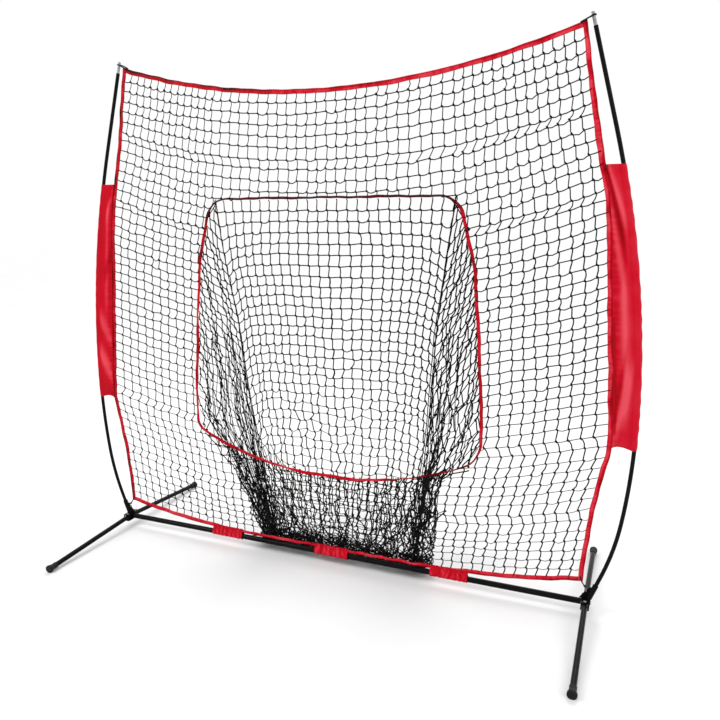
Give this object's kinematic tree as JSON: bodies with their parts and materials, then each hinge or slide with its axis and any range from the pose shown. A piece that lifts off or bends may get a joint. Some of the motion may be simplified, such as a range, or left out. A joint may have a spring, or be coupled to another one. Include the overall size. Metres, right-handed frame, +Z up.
{
  "type": "pitching target net",
  "caption": "Free-standing pitching net on folding legs, with bowed side poles, a strike-zone opening and a hanging pocket behind it.",
  "frame": {"origin": "on the ground below the middle of the crossbar", "axes": "+X to the thrower's right along the crossbar, +Y away from the thrower towards the pocket, +Z up"},
  "size_m": [2.4072, 1.0518, 2.1312],
  "materials": {
    "red_fabric": "satin",
    "net_cord": "matte",
    "elastic_cord": "matte",
    "foot_rubber": "matte",
    "pole_black": "satin",
    "spigot_metal": "satin",
    "tip_chrome": "polished",
    "zinc_steel": "satin",
    "black_plastic": "satin",
    "black_steel": "satin"
  },
  "bodies": {
    "frame": {"bar_end_plug_left": "black_plastic", "bar_end_plug_right": "black_plastic", "bar_wrap_left": "red_fabric", "bar_wrap_middle": "red_fabric", "bar_wrap_right": "red_fabric", "bottom_cord_left": "elastic_cord", "bottom_cord_right": "elastic_cord", "cord_ball_left": "black_plastic", "cord_ball_right": "black_plastic", "corner_hook_left": "zinc_steel", "corner_hook_right": "zinc_steel", "crossbar_button": "zinc_steel", "crossbar_coupler": "black_steel", "crossbar_left": "black_steel", "crossbar_right": "black_steel", "edge_tape_bottom": "red_fabric", "edge_tape_left": "red_fabric", "edge_tape_right": "red_fabric", "edge_tape_top": "red_fabric", "gusset_left": "black_steel", "gusset_right": "black_steel", "hub_bracket_left": "black_steel", "hub_bracket_right": "black_steel", "leg_pivot_bolts": "zinc_steel", "leg_pivot_nuts": "zinc_steel", "net_panel": "net_cord", "opening_trim": "red_fabric", "pocket_net": "net_cord", "pole_lower_left": "pole_black", "pole_lower_right": "pole_black", "pole_socket_left": "black_steel", "pole_socket_right": "black_steel", "pole_spigot_left": "spigot_metal", "pole_spigot_right": "spigot_metal", "pole_tip_left": "tip_chrome", "pole_tip_right": "tip_chrome", "pole_upper_left": "pole_black", "pole_upper_right": "pole_black", "side_sleeve_left": "red_fabric", "side_sleeve_right": "red_fabric", "top_loop_cord_left": "elastic_cord", "top_loop_cord_right": "elastic_cord"},
    "front_left_leg": {"leg_front_left": "black_steel", "foot_cap_front_left": "foot_rubber"},
    "front_right_leg": {"leg_front_right": "black_steel", "foot_cap_front_right": "foot_rubber"},
    "rear_left_leg": {"leg_rear_left": "black_steel", "foot_cap_rear_left": "foot_rubber"},
    "rear_right_leg": {"leg_rear_right": "black_steel", "foot_cap_rear_right": "foot_rubber"}
  },
  "joints": [
    {"name": "fold_front_left", "type": "hinge", "parent": "frame", "child": "front_left_leg", "pos_m": [-1.065, -0.026, 0.047], "axis": [0, 0, 1], "range_deg": [0, 88]},
    {"name": "fold_rear_left", "type": "hinge", "parent": "frame", "child": "rear_left_leg", "pos_m": [-1.065, 0.026, 0.047], "axis": [0, 0, -1], "range_deg": [0, 88]},
    {"name": "fold_front_right", "type": "hinge", "parent": "frame", "child": "front_right_leg", "pos_m": [1.065, -0.026, 0.047], "axis": [0, 0, -1], "range_deg": [0, 88]},
    {"name": "fold_rear_right", "type": "hinge", "parent": "frame", "child": "rear_right_leg", "pos_m": [1.065, 0.026, 0.047], "axis": [0, 0, 1], "range_deg": [0, 88]}
  ]
}
